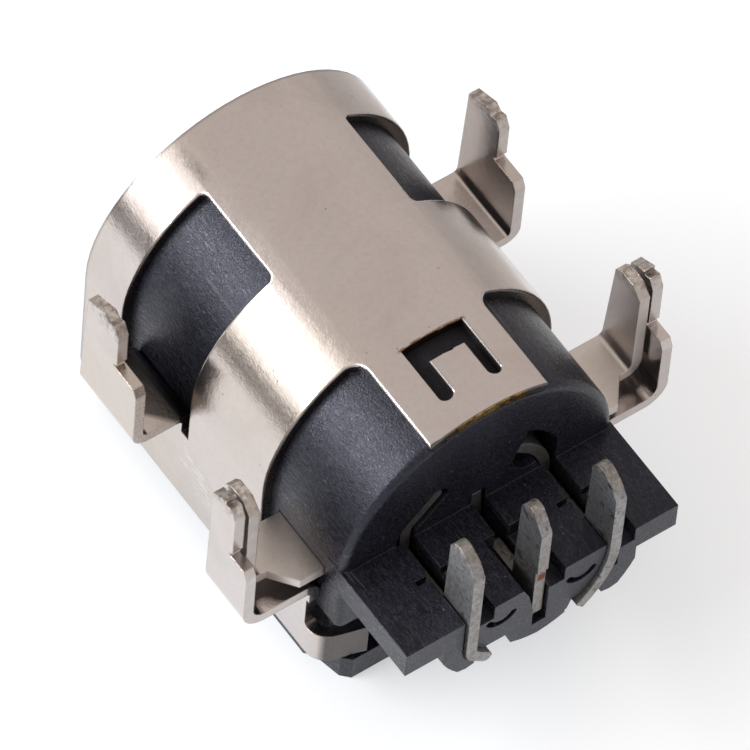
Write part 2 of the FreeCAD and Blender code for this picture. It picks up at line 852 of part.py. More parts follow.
def groove_outline(offset):
    """Short curved groove with round ends on the rear of a middle block."""
    mid = size("groove_radius")
    half = size("groove_width") / 2
    drop = -size("groove_drop")
    outer = mid + half
    inner = mid - half
    spread = size("groove_half_angle")
    across_end = sine(spread)
    along_end = cosine(spread)
    return [
        corner(offset - outer * across_end, drop - outer * along_end, outer, 1),
        corner(offset + outer * across_end, drop - outer * along_end, half, 1),
        corner(offset + mid * across_end + half * along_end,
               drop - mid * along_end + half * across_end, half, 1),
        corner(offset + inner * across_end, drop - inner * along_end, inner, -1),
        corner(offset - inner * across_end, drop - inner * along_end, half, 1),
        corner(offset - mid * across_end - half * along_end,
               drop - mid * along_end + half * across_end, half, 1),
    ]


# Moulding: body with the plug bore, and the terminal block behind it
def build_housing():
    body = new_piece("housing")
    front = size("mould_front")
    rear = size("mould_rear")
    block = size("block_rear")
    floor = -size("axis_height")
    chamfer = size("floor_chamfer")
    flange = size("flange_half")
    top = size("block_top")
    root = rear - size("block_root")
    along_y(body, "shell", front, rear, [[
        corner(shield_inner, floor), corner(shield_inner, ZERO, shield_inner, 1),
        corner(ZERO, shield_inner, shield_inner, 1),
        corner(-shield_inner, ZERO), corner(-shield_inner, floor)]])
    floor_cut = [
        corner(shield_inner - chamfer, floor - margin), corner(shield_inner + margin, floor - margin),
        corner(shield_inner + margin, floor + chamfer), corner(shield_inner, floor + chamfer),
        corner(shield_inner - chamfer, floor)]
    for word, side in board_side:
        along_y(body, f"floor_chamfer_{word}", front, size("floor_chamfer_end"),
                [placed_side(floor_cut, side)], cut=True)
    round_edges(body, "arch_edge", size("arch_edge_round"),
                lambda edge, middle: near_to(middle.y, rear) and near_to(abs(middle.x), shield_inner))
    along_y(body, "block_core", root, block, [block_outline()])
    along_y(body, "flanges", root, block, [box_outline(-flange, top - size("flange_thick"), flange, top)])
    along_y(body, "plug_bore", front, size("collar_end"), [], cut=True, radius=size("plug_bore"))
    along_y(body, "chamber", size("collar_end"), size("chamber_end"), [], cut=True,
            radius=size("chamber_radius"))
    along_y(body, "pin_hole", size("chamber_end"), size("pin_rear"), [], cut=True,
            radius=size("pin_root_radius"))
    cut_contact_rooms(body)
    cut_side_slots(body)
    cut_centre_slot_and_keys(body)
    cut_spring_slots(body)
    cut_hook_seats(body)
    chamfer_mouth(body)
    return body


def chamfer_mouth(body):
    """Lead-in for the plug at the front end of the bore."""
    base = body.Tip
    picked = [f"Edge{i}" for i, edge in enumerate(base.Shape.Edges, start=1)
              if hasattr(edge.Curve, "Radius") and near_to(edge.Curve.Radius, size("plug_bore"))
              and near_to(edge.valueAt(edge.FirstParameter).y, size("mould_front"))]
    chamfer = body.newObject("PartDesign::Chamfer", "mouth_chamfer")
    chamfer.Base = (base, picked)
    chamfer.setExpression("Size", "Sizes.mouth_chamfer")
    doc.recompute()


def curled_room():
    """Opening round the curled wing: outwards to a circle, inwards to a short floor."""
    high = size("curled_room_angle")
    inner = blade_inner - clear
    outer = blade_outer + clear
    radius = outer + size("curled_room_gap")
    side_angle = as_size(math.degrees(math.acos(outer.value / radius.value)))
    side_angle.text = f"acos({outer.text} / {radius.text}) / 1 deg"
    end = -size("neck_bottom")
    level = -size("curled_wing_drop")
    low = size("curled_room_floor_angle")
    centre = blade_outer - size("curled_wing_radius")
    near = inner - centre
    floor_rise = level + near * sine(low)
    return [
        corner(inner, end), corner(outer, end), ray(radius, side_angle, radius, 1), ray(radius, high),
        corner(blade_inner - size("curled_room_end"), size("curled_room_end_rise")),
        corner(blade_inner - size("curled_room_floor"), floor_rise),
        corner(centre + near * cosine(low), floor_rise, near, -1), corner(inner, level),
    ]


def cut_contact_rooms(body):
    """Side rooms for the spring arms and the openings round the wings in the rear wall."""
    start = size("wing_room_start")
    behind = size("mould_rear") + seat
    room = box_outline(blade_inner - clear, -size("arm_room_bottom"),
                       size("arm_room_half"), size("arm_room_top"))
    for word, side in board_side:
        along_y(body, f"arm_room_{word}", size("arm_room_start"), start + gauge,
                [placed_side(room, side)], cut=True)
    along_y(body, "bent_wing_room", start, behind, [bent_wing(clear, size("bent_wing_gap"), clear)], cut=True)
    along_y(body, "curled_wing_room", start, behind, [mirrored(curled_room())], cut=True)


def cut_side_slots(body):
    """Slots and foot recesses for the two side contacts."""
    over = size("block_rear") + margin
    slot = box_outline(blade_inner - clear, -size("neck_bottom"), blade_outer + clear, margin)
    recess_start = size("terminal_front") - clear
    bent = bent_foot(clear, size("foot_room"))
    curved = mirrored(curved_foot(clear, size("curved_room_angle")))
    for word, side in board_side:
        along_y(body, f"side_slot_{word}", size("wing_room_start"), over,
                [placed_side(slot, side)], cut=True)
    along_y(body, "bent_foot_recess", recess_start, over, [bent], cut=True)
    along_y(body, "curved_foot_recess", recess_start, over, [curved], cut=True)


def cut_centre_slot_and_keys(body):
    """Centre slot with its flare, pockets beside the blades, key notches and rear grooves."""
    block = size("block_rear")
    over = block + margin
    top = size("block_top")
    half = size("terminal_gauge") / 2
    reach = half + clear + size("key_notch")
    key_at = size("mould_rear") + size("slot_lead")
    pitch = size("terminal_pitch")
    along_y(body, "centre_slot", size("pin_rear"), over,
            [box_outline(-half - clear, -size("slot_floor"), half + clear, margin)], cut=True)
    flare_start = size("flare_start")
    for name, centre, pocket_start in (
            ("left", pitch, size("blade_pocket_start")), ("centre", ZERO, flare_start),
            ("right", -pitch, size("blade_pocket_start"))):
        along_y(body, f"blade_pocket_{name}", pocket_start, over,
                [box_outline(centre - half - clear - size("blade_pocket"), -size("blade_pocket_floor"),
                             centre - half, margin)], cut=True)
    for name, centre in (("left", pitch), ("right", -pitch)):
        along_z(body, f"key_notch_{name}", top - size("key_notch_deep"), top + margin, [box_outline(
            centre - reach, key_at, centre + reach, key_at + size("key_notch_long"))], cut=True)
    wall = half + clear
    far = wall + size("flare_out")
    along_y(body, "centre_flare", flare_start, over, [[
        corner(half, margin), corner(half, -size("flare_floor")), corner(wall, -size("flare_floor")),
        corner(wall + size("flare_ledge_out"), -size("flare_ledge_drop")),
        corner(far, top), corner(far, margin)]], cut=True)
    offset = size("groove_offset")
    along_y(body, "rear_grooves", block - size("groove_depth"), over,
            [groove_outline(offset), groove_outline(-offset)], cut=True)


def cut_spring_slots(body):
    """Slots that take the ground springs; the springs rest on their floors."""
    start = size("spring_at") - seat
    end = size("spring_at") + size("spring_depth") + seat
    top = -size("spring_shelf_top")
    for word, side in board_side:
        across(body, f"spring_slot_{word}", side, size("spring_root") - seat, shield_inner + margin,
               [box_outline(start, top - gauge, end, top + seat)], cut=True)


def cut_hook_seats(body):
    """Recess under each hook and the tapered heel below it."""
    low = -skirt - size("hook_seat_below")
    high = size("hook_height") - skirt + size("hook_seat_above")
    inside = shield_inner - size("hook_seat_inset")
    wall = shield_inner + margin
    inner = size("hook_seat_inner")
    face = size("hook_seat_face")
    slope = size("hook_seat_chamfer")
    start = size("hook_seat_start")
    rear = size("mould_rear")
    behind = rear + margin
    seat_plan = [
        corner(inside, start), corner(wall, start), corner(wall, behind), corner(inner, behind),
        corner(inner, face), corner(inside - slope, face), corner(inside, face - slope)]
    heel = size("heel_from")
    step = size("heel_step")
    taper = shield_inner - size("heel_taper")
    nose = size("heel_nose")
    heel_plan = [
        corner(wall, heel), corner(shield_inner, heel), corner(shield_inner - step, heel + step),
        corner(taper, rear - nose), corner(taper - nose, rear), corner(taper - nose, behind),
        corner(wall, behind)]
    for word, side in board_side:
        along_z(body, f"hook_seat_{word}", low, high, [placed_side(seat_plan, side)], cut=True)
        along_z(body, f"heel_{word}", -size("axis_height") - seat, low, [placed_side(heel_plan, side)],
                cut=True)


pieces = [
    build_shield(),
    build_housing(),
    build_centre_pin(),
    build_centre_terminal(),
    build_side_contact(LEFT, "left_contact", bent_foot, bent_wing(ZERO, ZERO, ZERO)),
    build_side_contact(RIGHT, "right_contact", curved_foot, curled_wing()),
    build_ground_spring(LEFT, "left_ground_spring"),
    build_ground_spring(RIGHT, "right_ground_spring"),
]
doc.recompute()

# Check the document, then write one file for each piece
for item in doc.Objects:
    if {"Invalid", "Error"} & set(item.State):
        raise RuntimeError(f"{item.Name} failed: {item.State}")
for piece in pieces:
    if piece.Shape.isNull() or not piece.Shape.isValid() or len(piece.Shape.Solids) != 1:
        raise RuntimeError(f"{piece.Label} isn't one valid solid: {len(piece.Shape.Solids)}")
    piece.Shape.exportStep(f"parts/{piece.Label}.step")
    box = piece.Shape.BoundBox
    print(piece.Label, round(piece.Shape.Volume, 3),
          [round(v, 3) for v in (box.XMin, box.YMin, box.ZMin, box.XMax, box.YMax, box.ZMax)])
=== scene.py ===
import math

import bmesh
import bpy
from mathutils import Matrix, Vector

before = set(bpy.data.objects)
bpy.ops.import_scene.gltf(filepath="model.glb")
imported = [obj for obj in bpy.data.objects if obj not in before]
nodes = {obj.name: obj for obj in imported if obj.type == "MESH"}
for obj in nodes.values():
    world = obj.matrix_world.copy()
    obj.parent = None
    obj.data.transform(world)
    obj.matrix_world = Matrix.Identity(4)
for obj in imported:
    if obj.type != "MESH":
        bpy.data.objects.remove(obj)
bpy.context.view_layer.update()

MM = 0.001
MICRON = 0.000001

# The plug axis in the frame, and half the object's length, in millimetres
AXIS_HEIGHT = 4.65
MIDDLE = 6.15

# Camera: the photo is close to orthographic, so a long lens far away stands in.
# Its axes are unit vectors of the frame; AXIS_PX is where the origin of place() shows.
IMAGE_PX = 750
PX_PER_MM = 45.0
RIGHT = Vector((-0.8210, 0.5684, 0.0547)).normalized()
UP = Vector((-0.4516, -0.7048, 0.5472)).normalized()
AXIS_PX = (229.44, 193.72)
CAMERA_DISTANCE = 0.275
SENSOR_MM = 36.0
CLIP = (0.01, 10)

# Lights, in metres of the frame: direction, distance, width and height, radiance
SOFTBOX = ((0.766, -0.4245, 0.483), 0.5, (0.5, 0.38), 0.8)
SOFTBOX_LAMP = ((0.778, -0.4245, 0.463), 0.49, (0.5, 0.05), 29.0)
# Cards that show in reflections: centre, width and height, glow at the foot and at the top
SIDE_CARD = ((0.034, -0.018, 0.0068), (0.09, 0.0092), 0.32, 0.15)
FAR_CARD = ((-0.0115, -0.0054, 0.0042), (0.07, 0.0084), 0.82, 0.55)
CARD_LIGHT = (1.0, 0.94, 0.9, 1)
# Brightness of the room from the horizon, at 0, to straight above, at 1, and its warm tint;
# below the horizon it stays as it is at 0
ROOM_STOPS = ((0.0, 0.54), (0.1, 0.58), (0.2, 0.7), (0.5, 0.77), (1.0, 0.75))
ROOM_TINT = (1.0, 0.905, 0.83)
FLOOR_HALF = 1.5
FLOOR_COLOR = (0.6, 0.63, 0.665, 1)
FLOOR_LIGHT = (0.952, 0.977, 1.0, 1)
FLOOR_GLOW = 0.435

# Colours of clean metal, as red, green and blue
SHEET_NICKEL = (0.585, 0.543, 0.535)
SPRING_NICKEL = (0.62, 0.58, 0.56)
SIDE_TIN = (0.43, 0.452, 0.495)
CENTRE_TIN = (0.4, 0.42, 0.458)
# What the clean colour is multiplied by in stains and in worn patches
WARM_STAIN = (0.97, 0.93, 0.84)
DULL_STAIN = (0.80, 0.78, 0.75)
# Colours of wear, dirt and marks on the metal, and of painted shade
PIT = (0.12, 0.1, 0.09, 1)
TIP_DARK = (0.2, 0.172, 0.155, 1)
TIP_LIGHT = (0.68, 0.645, 0.615, 1)
SHEET_EDGE = (0.4, 0.345, 0.31, 1)
SPRING_EDGE = (0.38, 0.33, 0.3, 1)
CONTACT_EDGE = (0.27, 0.25, 0.235, 1)
# Painted shade: darkens the arch's cut edges and the sides of the tab's slot
CUT_EDGE_SHADE = (0.045, 0.04, 0.04, 1)
# Painted shade for the arch's front lip
FRONT_LIP_SHADE = (0.24, 0.215, 0.205, 1)
DARK_LINE_TONE = (0.14, 0.125, 0.12, 1)
DARK_PATCH_TONE = (0.12, 0.11, 0.105, 1)
SCRATCH_DARK = (0.2, 0.18, 0.17, 1)
# Painted shade for the left front leg's shelf
SHELF_SHADE = (0.03, 0.029, 0.03, 1)
SCUFF_LIGHT = (0.86, 0.84, 0.83, 1)
FLUX_DARK = (0.09, 0.04, 0.012, 1)
FLUX_LIGHT = (0.46, 0.29, 0.1, 1)
RUST = (0.2, 0.115, 0.06, 1)
TIN_MOTTLE = (0.15, 0.14, 0.135, 1)
TIN_MARK = (0.08, 0.075, 0.07, 1)
# Painted shade for the contacts inside the moulding
INNER_SHADE = (0.045, 0.045, 0.05, 1)
COPPER = (0.17, 0.052, 0.018, 1)
# Colours of the moulding
PLASTIC_DARK = (0.002, 0.0022, 0.0045, 1)
PLASTIC_LIGHT = (0.006, 0.0065, 0.013, 1)
PLASTIC_DUST = (0.05, 0.05, 0.058, 1)
PLASTIC_SPECK = (0.3, 0.27, 0.24, 1)
PLASTIC_SCRATCH = (0.09, 0.09, 0.105, 1)
PLASTIC_PAINTED_GLINT = (0.027, 0.029, 0.041, 1)
PLASTIC_EDGE_TONE = (0.07, 0.072, 0.085, 1)
PLASTIC_SLOT_SHADE = (0.002, 0.0015, 0.001, 1)
PLASTIC_SHEEN = (0.8, 0.83, 1.0, 1)

# Places of wear, marks and painted shade, in millimetres of the frame: from, to and softness along each
# axis.
# The crown is the upper part of the arch.
CROWN = (7.0, 8.8, 0.05)
ARCH = {"x": (-4.0, 4.0, 0.02)}
FRONT_LIP = {"y": (-6.3, -6.1, 0.03)}
DARK_LINE_PLACE = {"x": (1.66, 1.8, 0.09), "z": CROWN}
DARK_PATCH_PLACE = {"x": (1.63, 1.82, 0.11), "y": (-5.6, -4.9, 0.3), "z": CROWN}
LONG_SCRATCH = {"x": (2.668, 2.692, 0.01), "y": (-2.2, 0.6, 0.3), "z": CROWN}
FRONT_SHELF = {"x": (3.62, 4.97, 0.025), "y": (-4.6, -2.0, 0.05), "z": (3.82, 4.4, 0.05)}
WALL_SCUFFS = {"x": (3.8, 4.1, 0.05), "y": (-2.1, -0.8, 0.35), "z": (1.7, 3.1, 0.4)}
TAB_REAR_EDGE = {"x": (-0.95, 1.0, 0.12), "y": (3.585, 3.7, 0.006), "z": (8.0, 8.7, 0.01)}
SLOT_SIDE = {"x": (-0.89, -0.8, 0.01), "y": (1.3, 2.77, 0.03), "z": (8.2, 8.6, 0.01)}
TONGUE_SIDE = {"x": (0.39, 0.46, 0.01), "y": (1.3, 2.77, 0.03), "z": (8.2, 8.6, 0.01)}
SLOT_FRONT_WALL = {"x": (-0.9, 0.85, 0.05), "y": (1.26, 1.35, 0.01), "z": (8.25, 8.57, 0.01)}
UNDER_SLOT = {"x": (-0.95, 0.9, 0.02), "y": (1.2, 3.0, 0.05), "z": (8.0, 8.4, 0.02)}
PLUG_ROOM = {"y": (-4.0, 2.2, 0.05)}
WING_ROOM = {"y": (2.2, 4.15, 0.05)}
COPPER_NICK = {"x": (-0.13, 0.07, 0.012), "y": (5.9, 6.2, 0.01), "z": (4.6, 4.84, 0.012)}
# The painted shade on the front shelf fades out along a slanted line, where x plus the slant times y is
# between these limits, in millimetres
SHADE_SLANT = 0.9
SHADE_LIMITS = (2.1, 2.3)


def place(x, y, z):
    """A point given about the plug axis, in millimetres, as a point of the frame."""
    return Vector((x * MM, (y - MIDDLE) * MM, (z + AXIS_HEIGHT) * MM))


def add_camera():
    """The camera of the photo, aimed at the point that falls on the image's centre."""
    data = bpy.data.cameras.new("camera")
    camera = bpy.data.objects.new("camera", data)
    bpy.context.collection.objects.link(camera)
    up = (UP - RIGHT * UP.dot(RIGHT)).normalized()
    back = RIGHT.cross(up)
    across = (IMAGE_PX / 2 - AXIS_PX[0]) / PX_PER_MM
    down = (IMAGE_PX / 2 - AXIS_PX[1]) / PX_PER_MM
    target = place(0, 0, 0) + (RIGHT * across - up * down) * MM
    # slide the target along the view so that it sits inside the object
    target += back * (place(0, MIDDLE, 0) - target).dot(back)
    rows = [(r, u, b, t + b * CAMERA_DISTANCE) for r, u, b, t in zip(RIGHT, up, back, target)]
    camera.matrix_world = Matrix(rows + [(0, 0, 0, 1)])
    data.sensor_width = SENSOR_MM
    data.lens = SENSOR_MM * CAMERA_DISTANCE / (IMAGE_PX / PX_PER_MM * MM)
    data.clip_start, data.clip_end = CLIP
    bpy.context.scene.camera = camera


class Graph:
    """A material's node tree with short calls for the nodes that are used here."""

    def __init__(self, name):
        self.material = bpy.data.materials.new(name)
        self.material.use_nodes = True
        self.tree = self.material.node_tree
        self.shader = self.tree.nodes["Principled BSDF"]
        coords = self.tree.nodes.new("ShaderNodeTexCoord")
        self.coords = coords.outputs["Object"]
        self.facing = coords.outputs["Normal"]

    def link(self, out, socket):
        self.tree.links.new(out, socket)

    def put(self, value, socket):
        """Links an output to a socket, or sets the socket to a plain value."""
        if isinstance(value, bpy.types.NodeSocket):
            self.link(value, socket)
        else:
            socket.default_value = value

    def mapped(self, scale, rotation=(0, 0, 0)):
        """The place, stretched and turned, so that a texture runs in strokes."""
        node = self.tree.nodes.new("ShaderNodeMapping")
        node.inputs["Scale"].default_value = scale
        node.inputs["Rotation"].default_value = rotation
        self.link(self.coords, node.inputs["Vector"])
        return node.outputs["Vector"]

    def noise(self, scale, detail=2.0, rough=0.5, vector=None, distortion=0.0):
        node = self.tree.nodes.new("ShaderNodeTexNoise")
        node.inputs["Scale"].default_value = scale
        node.inputs["Detail"].default_value = detail
        node.inputs["Roughness"].default_value = rough
        node.inputs["Distortion"].default_value = distortion
        self.link(vector or self.coords, node.inputs["Vector"])
        return node.outputs["Fac"]

    def dots(self, scale, low, high):
        """1 in small round dots, one near the middle of each cell, else 0."""
        node = self.tree.nodes.new("ShaderNodeTexVoronoi")
        node.inputs["Scale"].default_value = scale
        self.link(self.coords, node.inputs["Vector"])
        return self.span(node.outputs["Distance"], low, high, 1.0, 0.0)

    def span(self, value, low, high, to_low=0.0, to_high=1.0):
        """A value between low and high, stretched to run from to_low to to_high."""
        node = self.tree.nodes.new("ShaderNodeMapRange")
        node.clamp = True
        limits = (("From Min", low), ("From Max", high), ("To Min", to_low), ("To Max", to_high))
        for name, number in limits:
            node.inputs[name].default_value = number
        self.link(value, node.inputs["Value"])
        return node.outputs["Result"]

    def math(self, kind, a, b):
        node = self.tree.nodes.new("ShaderNodeMath")
        node.operation = kind
        self.put(a, node.inputs[0])
        self.put(b, node.inputs[1])
        return node.outputs["Value"]

    def product(self, first, *others):
        for other in others:
            first = self.math("MULTIPLY", first, other)
        return first

    def total(self, first, *others):
        for other in others:
            first = self.math("ADD", first, other)
        return first

    def mix(self, mask, a, b):
        """Colour a where the mask is 0, and colour b where it is 1."""
        node = self.tree.nodes.new("ShaderNodeMix")
        node.data_type = "RGBA"
        self.put(mask, node.inputs["Factor"])
        color_a, color_b = [s for s in node.inputs if s.type == "RGBA"]
        self.put(a, color_a)
        self.put(b, color_b)
        return next(s for s in node.outputs if s.type == "RGBA")

    def bump(self, height, distance, normal):
        node = self.tree.nodes.new("ShaderNodeBump")
        node.inputs["Distance"].default_value = distance
        node.inputs["Strength"].default_value = 1.0
        self.link(height, node.inputs["Height"])
        self.link(normal, node.inputs["Normal"])
        return node.outputs["Normal"]

    def axis_part(self, axis, vector=None):
        node = self.tree.nodes.new("ShaderNodeSeparateXYZ")
        self.link(vector or self.coords, node.inputs["Vector"])
        return node.outputs[axis]

    def faces_along(self, axis):
        """1 on faces that look along an axis, either way, and 0 on faces that look across it."""
        part = self.math("ABSOLUTE", self.axis_part(axis, self.facing), 0.0)
        return self.span(part, 0.55, 0.8)

    def inside(self, x=None, y=None, z=None):
        """1 inside a box of the frame, else 0; a side is from, to and softness in millimetres."""
        masks = []
        for axis, side in (("X", x), ("Y", y), ("Z", z)):
            if side is None:
                continue
            low, high, soft = (value * MM for value in side)
            along = self.axis_part(axis)
            masks.append(self.span(along, low - soft, low + soft))
            masks.append(self.span(along, high - soft, high + soft, 1.0, 0.0))
        return self.product(*masks)

    def bevel(self, radius):
        node = self.tree.nodes.new("ShaderNodeBevel")
        node.samples = 6
        node.inputs["Radius"].default_value = radius
        return node.outputs["Normal"]

    def edges(self, rounded):
        """1 along sharp edges, where the rounded normal leaves the face's own, else 0."""
        face = self.tree.nodes.new("ShaderNodeNewGeometry")
        node = self.tree.nodes.new("ShaderNodeVectorMath")
        node.operation = "DOT_PRODUCT"
        self.link(rounded, node.inputs[0])
        self.link(face.outputs["Normal"], node.inputs[1])
        return self.span(node.outputs["Value"], 0.8, 0.97, 1.0, 0.0)

    def finish(self, color, roughness, normal=None, metallic=0.0, specular=0.5):
        self.put(color, self.shader.inputs["Base Color"])
        self.put(roughness, self.shader.inputs["Roughness"])
        self.shader.inputs["Metallic"].default_value = metallic
        self.shader.inputs["Specular IOR Level"].default_value = specular
        if normal is not None:
            self.link(normal, self.shader.inputs["Normal"])
        return self.material


class Metal(Graph):
    """Plated sheet, onto which wear and dirt are laid one after another."""

    def __init__(self, name, tone, gloss, peel=1.0, dirt=0.3):
        """Rolling streaks, orange peel, warm stains and scattered pits on a clean tone.

        gloss is the roughness where the sheet is clean and where it is cloudy.
        """
        super().__init__(name)
        streaks = self.noise(21000, 2, 0.6, self.mapped((1, 0.06, 1)))
        dimples = self.noise(5200, 3, 0.6)
        fine = self.noise(19000, 2, 0.6)
        cloud = self.noise(430, 5, 0.62, distortion=0.6)
        patches = self.span(self.noise(900, 1), 0.55, 0.62)
        pits = self.product(self.dots(2600, 0.03, 0.1), patches)
        warm, dull = [tuple(t * s for t, s in zip(tone, stain)) + (1,) for stain in (WARM_STAIN, DULL_STAIN)]
        self.color = self.mix(self.span(self.noise(150), 0.4, 0.65), tone + (1,), warm)
        self.lay(dull, self.span(cloud, 0.5, 0.78, 0.0, dirt * 2))
        self.lay(dull, self.span(self.noise(8000, 4, 0.7), 0.45, 0.7, 0.0, 0.3))
        self.lay(PIT, pits, 0.7)
        self.rough = self.total(self.span(cloud, 0.35, 0.75, *gloss), self.span(fine, 0.3, 0.7, -0.03, 0.03))
        height = self.total(self.product(dimples, 0.75 * peel), self.product(streaks, 0.1),
                            self.product(fine, 0.4), self.product(pits, -0.6))
        self.normal = self.bump(height, 6 * MICRON, self.bevel(0.042 * MM))

    def lay(self, tone, mask, share=1.0, rougher=0.0):
        """Covers the colour with a tone where the mask is 1, as far as share says."""
        self.color = self.mix(self.product(mask, share), self.color, tone)
        if rougher:
            self.rough = self.total(self.rough, self.product(mask, rougher))

    def wear_tips(self, level, depth, beside=None):
        """Scraped, stained metal above a level that wanders by up to depth.

        Where beside is given, only what stands that far from the middle is worn.
        """
        high = self.total(self.axis_part("Z"), self.product(self.noise(2600, 3, 0.7), depth * MM))
        worn = self.span(high, (level + depth * 0.5) * MM, (level + depth) * MM)
        if beside is not None:
            out = self.math("ABSOLUTE", self.axis_part("X"), 0.0)
            worn = self.product(worn, self.span(out, beside * MM, (beside + 0.05) * MM))
        stain = self.mix(self.span(self.noise(6000, 4, 0.7), 0.4, 0.62), TIP_DARK, TIP_LIGHT)
        self.lay(stain, worn, 0.8, rougher=0.096)

    def dull_edges(self, sheared, tone, share):
        """Blanked edges of a stamping: matt and browner than the rolled faces."""
        spots = self.span(self.noise(3600, 4, 0.65), 0.3, 0.7, share * 0.5, share)
        self.lay(tone, self.product(sheared, spots), rougher=0.2)

    def done(self, metallic=1.0):
        return self.finish(self.color, self.rough, self.normal, metallic)


def shade_and_mark_arch(metal):
    """Painted shade on the arch's cut edges and its front lip, and darker marks along its crown: a speckled
    line, a patch and a scratch.
    """
    # painted shade on the arch's cut edges, where they face the dark moulding
    metal.lay(CUT_EDGE_SHADE, metal.product(metal.faces_along("Y"), metal.inside(**ARCH)), 0.85)
    # painted shade along the front lip, where the highlight falls off towards the edge
    metal.lay(FRONT_LIP_SHADE, metal.inside(**FRONT_LIP), 0.55)
    speck = metal.noise(7500, 4, 0.75)
    broken = metal.product(metal.span(speck, 0.45, 0.65), metal.span(metal.noise(900), 0.45, 0.62))
    # a darker speckled line and a darker patch along the crown, beside the highlight
    metal.lay(DARK_LINE_TONE, metal.product(metal.inside(**DARK_LINE_PLACE), broken), 0.4)
    metal.lay(DARK_PATCH_TONE, metal.product(metal.inside(**DARK_PATCH_PLACE), metal.span(speck, 0.3, 0.7)), 0.7)
    metal.lay(SCRATCH_DARK, metal.product(metal.inside(**LONG_SCRATCH), metal.span(speck, 0.3, 0.5)), 0.5)


def shade_shelf(metal):
    """Painted shade on the left front leg's shelf, which leaves its rear corner unshaded."""
    slanted = metal.total(metal.axis_part("X"), metal.product(metal.axis_part("Y"), SHADE_SLANT))
    low, high = (limit * MM for limit in SHADE_LIMITS)
    shelf_shade = metal.product(metal.inside(**FRONT_SHELF), metal.span(slanted, low, high, 1.0, 0.0))
    metal.lay(SHELF_SHADE, shelf_shade, 0.85)


def scuffed_wall(metal):
    """Light slanted strokes on the left wall."""
    strokes = metal.noise(12000, 2, 0.5, metal.mapped((1, 0.16, 1), (0.95, 0, 0)))
    scuffs = metal.product(metal.inside(**WALL_SCUFFS), metal.span(strokes, 0.56, 0.63))
    metal.lay(SCUFF_LIGHT, scuffs, 0.5, rougher=0.22)


def stain_and_shade_tab(metal):
    """Dried flux along the top tab's rear edge, rust on its slot's front wall, and painted shade on the
    slot's sides.
    """
    lumps = metal.noise(5200, 4, 0.7)
    flux = metal.mix(metal.span(lumps, 0.4, 0.65), FLUX_DARK, FLUX_LIGHT)
    metal.lay(flux, metal.product(metal.inside(**TAB_REAR_EDGE), metal.span(lumps, 0.3, 0.38)))
    metal.lay(RUST, metal.product(metal.inside(**SLOT_FRONT_WALL), metal.span(lumps, 0.35, 0.5)), 0.8)
    # painted shade along the slot's sides, which also dulls their rounded edges
    sides = metal.total(metal.inside(**SLOT_SIDE), metal.inside(**TONGUE_SIDE))
    metal.lay(CUT_EDGE_SHADE, sides, 0.75, rougher=0.2)


def sheet_material():
    metal = Metal("nickel_sheet", SHEET_NICKEL, (0.17, 0.27))
    metal.wear_tips(6.85, 0.8, beside=4.5)
    metal.dull_edges(metal.faces_along("Y"), SHEET_EDGE, 0.5)
    shade_and_mark_arch(metal)
    shade_shelf(metal)
    scuffed_wall(metal)
    stain_and_shade_tab(metal)
    return metal.done()


def spring_material():
    metal = Metal("nickel_spring", SPRING_NICKEL, (0.3, 0.4), peel=0.45)
    metal.wear_tips(6.75, 0.9)
    metal.dull_edges(metal.faces_along("Y"), SPRING_EDGE, 0.6)
    return metal.done()


def contact_material(name, tone, copper=False):
    """Mottled tin plate with dark marks, and painted shade where it lies inside the moulding."""
    metal = Metal(name, tone, (0.34, 0.5), peel=1.5, dirt=0.5)
    metal.wear_tips(6.75, 0.8)
    # the rolled faces look along X, so every other face is a cut one
    metal.dull_edges(metal.math("SUBTRACT", 1.0, metal.faces_along("X")), CONTACT_EDGE, 0.85)
    metal.lay(TIN_MOTTLE, metal.span(metal.noise(9000, 4, 0.75), 0.44, 0.62, 0.0, 0.65))
    strokes = metal.noise(9500, 2, 0.6, metal.mapped((1, 0.25, 0.5), (0.6, 0, 0)), distortion=0.5)
    metal.lay(TIN_MARK, metal.span(strokes, 0.62, 0.68), 0.8)
    # painted shade inside the plug room, and less in the wing recesses
    metal.lay(INNER_SHADE, metal.inside(**PLUG_ROOM), 0.78)
    metal.lay(INNER_SHADE, metal.inside(**WING_ROOM), 0.3)
    if copper:
        # bare copper where the plating is nicked on the rear edge
        metal.lay(COPPER, metal.inside(**COPPER_NICK))
    return metal.done(metallic=0.9)


